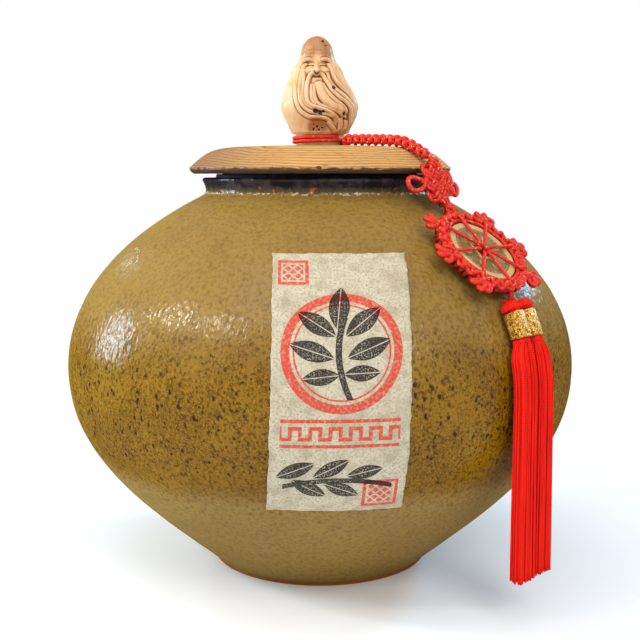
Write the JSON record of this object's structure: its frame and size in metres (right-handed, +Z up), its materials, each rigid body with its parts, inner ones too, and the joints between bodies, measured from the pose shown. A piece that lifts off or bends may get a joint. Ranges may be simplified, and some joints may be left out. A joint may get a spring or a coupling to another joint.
{
  "type": "tea storage jar",
  "caption": "Round-bellied glazed jar with a plugged wooden lid, carved finial and a knotted cord charm with coin and tassels; lid lifts off and turns, charm swings.",
  "frame": {"origin": "middle of the foot's underside", "axes": "+Z up along the turning axis of jar and lid, -Y towards the label"},
  "size_m": [0.28, 0.2806, 0.2911],
  "materials": {
    "glaze": "mottled glossy glaze",
    "paper": "aged matt",
    "rubber": "matt",
    "wood": "turned, oiled",
    "pale_wood": "carved, polished",
    "steel": "zinc plated",
    "bronze": "aged",
    "gold": "metallic thread",
    "red_cord": "satin"
  },
  "bodies": {
    "jar": {"jar_body": "glaze", "paper_label": "paper"},
    "seal": {"lid_seal_ring": "rubber"},
    "lid": {"lid_disc": "wood", "finial_figure": "pale_wood", "finial_screw": "steel", "finial_loop_cord": "red_cord", "snake_knot_cord": "red_cord"},
    "knot": {"endless_knot": "red_cord", "button_knot": "red_cord"},
    "wheel": {"coin": "bronze", "wheel_rim": "red_cord", "spoke_cord_1": "red_cord", "spoke_cord_2": "red_cord", "spoke_cord_3": "red_cord", "spoke_cord_4": "red_cord", "spoke_cord_5": "red_cord", "spoke_cord_6": "red_cord", "spoke_cord_7": "red_cord", "spoke_cord_8": "red_cord", "picot_knot_1": "red_cord", "picot_knot_2": "red_cord", "picot_knot_3": "red_cord", "picot_knot_4": "red_cord", "picot_knot_5": "red_cord", "picot_knot_6": "red_cord"},
    "tassels": {"tassel_knot": "red_cord", "tassel_left": "red_cord", "tassel_right": "red_cord", "gold_band_left": "gold", "gold_band_right": "gold"}
  },
  "joints": [
    {"name": "lid_lift", "type": "slide", "parent": "jar", "child": "seal", "axis": [0, 0, 1], "range_m": [0, 0.25]},
    {"name": "lid_turn", "type": "hinge", "parent": "seal", "child": "lid", "pos_m": [0, 0, 0.215], "axis": [0, 0, 1], "continuous": true},
    {"name": "knot_swing", "type": "hinge", "parent": "lid", "child": "knot", "pos_m": [0.05759, -0.05006, 0.22281], "axis": [-0.6561, -0.7547, 0], "range_deg": [0, 70]},
    {"name": "wheel_swing", "type": "hinge", "parent": "knot", "child": "wheel", "pos_m": [0.06685, -0.06923, 0.19602], "axis": [-0.7193, -0.6947, 0], "range_deg": [0, 60]},
    {"name": "tassel_swing", "type": "hinge", "parent": "wheel", "child": "tassels", "pos_m": [0.09287, -0.09617, 0.16068], "axis": [-0.7193, -0.6947, 0], "range_deg": [0, 60]}
  ]
}
